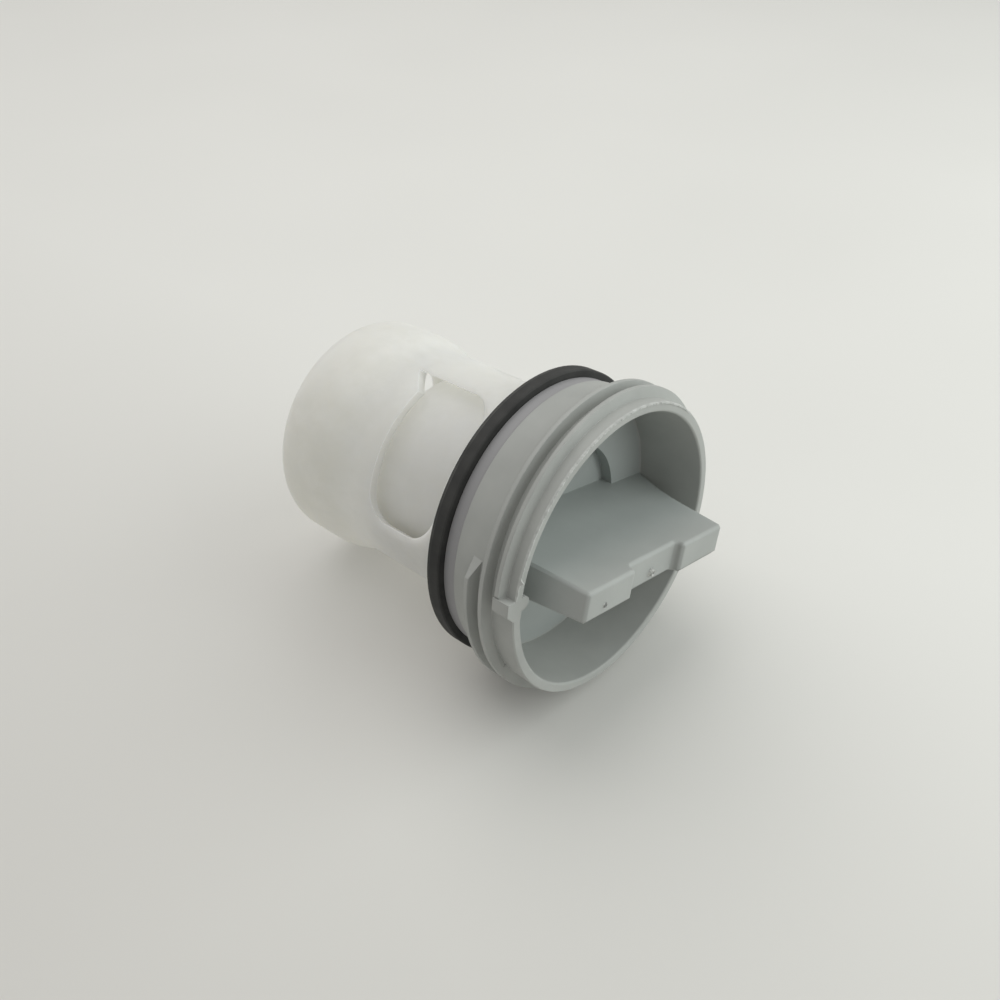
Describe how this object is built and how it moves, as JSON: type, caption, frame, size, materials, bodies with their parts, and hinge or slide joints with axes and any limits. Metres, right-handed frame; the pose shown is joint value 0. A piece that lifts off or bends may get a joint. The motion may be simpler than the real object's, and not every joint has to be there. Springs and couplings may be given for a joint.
{
  "type": "washing machine drain filter",
  "caption": "Screw-in drain pump filter: threaded cup cap with a grip bar, a rubber seal ring and a windowed trap basket that swivels on the cap.",
  "frame": {"origin": "on the screw axis at the foot of the basket, which the filter stands on", "axes": "+Z along the screw axis towards the grip, +X along the grip bar"},
  "size_m": [0.0636, 0.0636, 0.0812],
  "materials": {
    "cap_plastic": "fine satin, mid grey moulding",
    "seal_rubber": "matte black rubber",
    "basket_plastic": "satin, milky white and slightly translucent"
  },
  "bodies": {
    "basket": {"basket": "basket_plastic"},
    "cap": {"cap": "cap_plastic", "seal": "seal_rubber"}
  },
  "joints": [
    {"name": "cap_turn", "type": "hinge", "parent": "basket", "child": "cap", "pos_m": [0, 0, 0.049], "axis": [0, 0, 1], "continuous": true}
  ]
}
